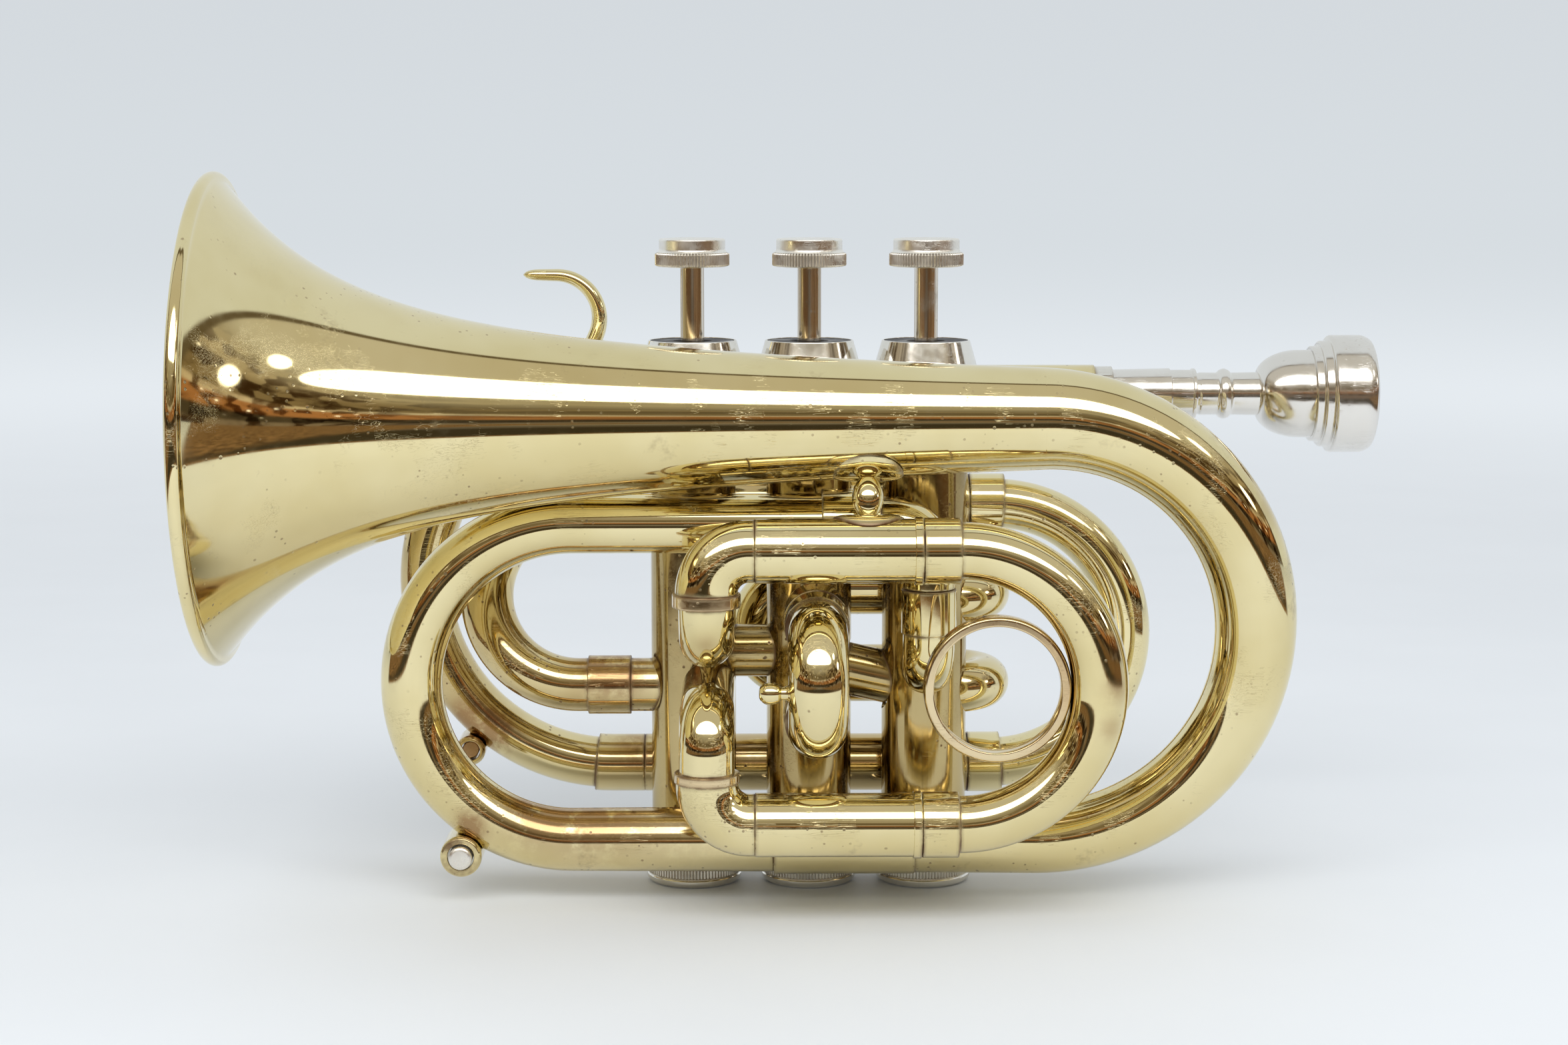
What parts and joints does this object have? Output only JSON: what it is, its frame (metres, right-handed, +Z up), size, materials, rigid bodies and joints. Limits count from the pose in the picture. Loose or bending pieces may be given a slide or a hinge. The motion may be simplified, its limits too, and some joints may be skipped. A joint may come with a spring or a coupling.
{
  "type": "pocket trumpet",
  "caption": "Compact trumpet with piston valves, wrapped tubing, flared bell, tuning slides and a plugged-in mouthpiece.",
  "frame": {"origin": "middle of the base of the box that holds the horn, in the plane of the three bottom caps that it stands on", "axes": "+X from the bell's rim towards the mouthpiece, -Y towards the bell side of the valves, +Z up along the valves to the finger buttons"},
  "size_m": [0.2524, 0.1112, 0.1575],
  "materials": {
    "lacquered_brass": "clear lacquer, polished, with small pits and scratches",
    "plain_brass": "turned, unlacquered",
    "nickel_plate": "nickel plated, polished",
    "silver_plate": "silver plated, polished, slightly warm",
    "spring_steel": "drawn wire",
    "grey_felt": "felt washer with a dark rubbed surface"
  },
  "bodies": {
    "horn": {"bell": "lacquered_brass", "bell_bow": "lacquered_brass", "bell_bow_sleeve": "lacquered_brass", "bell_tail": "lacquered_brass", "tail_crook": "lacquered_brass", "bell_port_elbow": "lacquered_brass", "bell_brace": "lacquered_brass", "mouthpiece_receiver": "lacquered_brass", "leadpipe": "lacquered_brass", "leadpipe_bow": "lacquered_brass", "leadpipe_brace": "lacquered_brass", "finger_hook": "lacquered_brass", "lower_tuning_tube": "lacquered_brass", "upper_tuning_tube": "lacquered_brass", "entry_bow": "lacquered_brass", "crossover_3_to_2": "lacquered_brass", "crossover_2_to_1": "lacquered_brass", "third_upper_knuckle": "lacquered_brass", "third_lower_knuckle": "lacquered_brass", "third_upper_tube": "lacquered_brass", "third_lower_tube": "lacquered_brass", "second_upper_tube": "lacquered_brass", "second_lower_tube": "lacquered_brass", "first_upper_tube": "lacquered_brass", "first_lower_tube": "lacquered_brass", "front_water_key_barrel": "lacquered_brass", "rear_water_key_barrel": "lacquered_brass", "valve_1_casing": "lacquered_brass", "valve_1_guide": "plain_brass", "valve_1_spring": "spring_steel", "valve_1_top_cap": "nickel_plate", "valve_1_cap_washer": "grey_felt", "valve_1_bottom_cap": "nickel_plate", "valve_2_casing": "lacquered_brass", "valve_2_guide": "plain_brass", "valve_2_spring": "spring_steel", "valve_2_top_cap": "nickel_plate", "valve_2_cap_washer": "grey_felt", "valve_2_bottom_cap": "nickel_plate", "valve_3_casing": "lacquered_brass", "valve_3_guide": "plain_brass", "valve_3_spring": "spring_steel", "valve_3_top_cap": "nickel_plate", "valve_3_cap_washer": "grey_felt", "valve_3_bottom_cap": "nickel_plate"},
    "valve_1": {"valve_1_piston": "nickel_plate", "valve_1_button": "nickel_plate"},
    "valve_2": {"valve_2_piston": "nickel_plate", "valve_2_button": "nickel_plate"},
    "valve_3": {"valve_3_piston": "nickel_plate", "valve_3_button": "nickel_plate"},
    "main_slide": {"tuning_slide": "lacquered_brass"},
    "third_valve_slide": {"third_slide": "lacquered_brass", "third_finger_ring": "lacquered_brass"},
    "second_valve_slide": {"second_slide": "lacquered_brass", "second_slide_knob": "lacquered_brass"},
    "first_valve_slide": {"first_slide": "lacquered_brass"},
    "mouthpiece_body": {"mouthpiece": "silver_plate"},
    "front_key": {"front_water_key_plunger": "nickel_plate"},
    "rear_key": {"rear_water_key_plunger": "nickel_plate"}
  },
  "joints": [
    {"name": "valve_1_press", "type": "slide", "parent": "horn", "child": "valve_1", "axis": [0, 0, -1], "range_m": [0, 0.0145], "stiffness_N_per_m": 120, "springref_m": -0.02, "deforming": ["valve_1_spring"]},
    {"name": "valve_2_press", "type": "slide", "parent": "horn", "child": "valve_2", "axis": [0, 0, -1], "range_m": [0, 0.0145], "stiffness_N_per_m": 120, "springref_m": -0.02, "deforming": ["valve_2_spring"]},
    {"name": "valve_3_press", "type": "slide", "parent": "horn", "child": "valve_3", "axis": [0, 0, -1], "range_m": [0, 0.0145], "stiffness_N_per_m": 120, "springref_m": -0.02, "deforming": ["valve_3_spring"]},
    {"name": "main_slide_pull", "type": "slide", "parent": "horn", "child": "main_slide", "axis": [1, 0, 0], "range_m": [0, 0.028]},
    {"name": "third_slide_pull", "type": "slide", "parent": "horn", "child": "third_valve_slide", "axis": [1, 0, 0], "range_m": [0, 0.025]},
    {"name": "second_slide_pull", "type": "slide", "parent": "horn", "child": "second_valve_slide", "axis": [0, -1, 0], "range_m": [0, 0.009]},
    {"name": "first_slide_pull", "type": "slide", "parent": "horn", "child": "first_valve_slide", "axis": [-1, 0, 0], "range_m": [0, 0.016]},
    {"name": "mouthpiece_pull", "type": "slide", "parent": "horn", "child": "mouthpiece_body", "axis": [1, 0, 0], "range_m": [0, 0.03]},
    {"name": "front_water_key_press", "type": "slide", "parent": "horn", "child": "front_key", "axis": [0, 1, 0], "range_m": [0, 0.0012], "stiffness_N_per_m": 300, "springref_m": -0.004},
    {"name": "rear_water_key_press", "type": "slide", "parent": "horn", "child": "rear_key", "axis": [0, -1, 0], "range_m": [0, 0.0012], "stiffness_N_per_m": 300, "springref_m": -0.004}
  ]
}
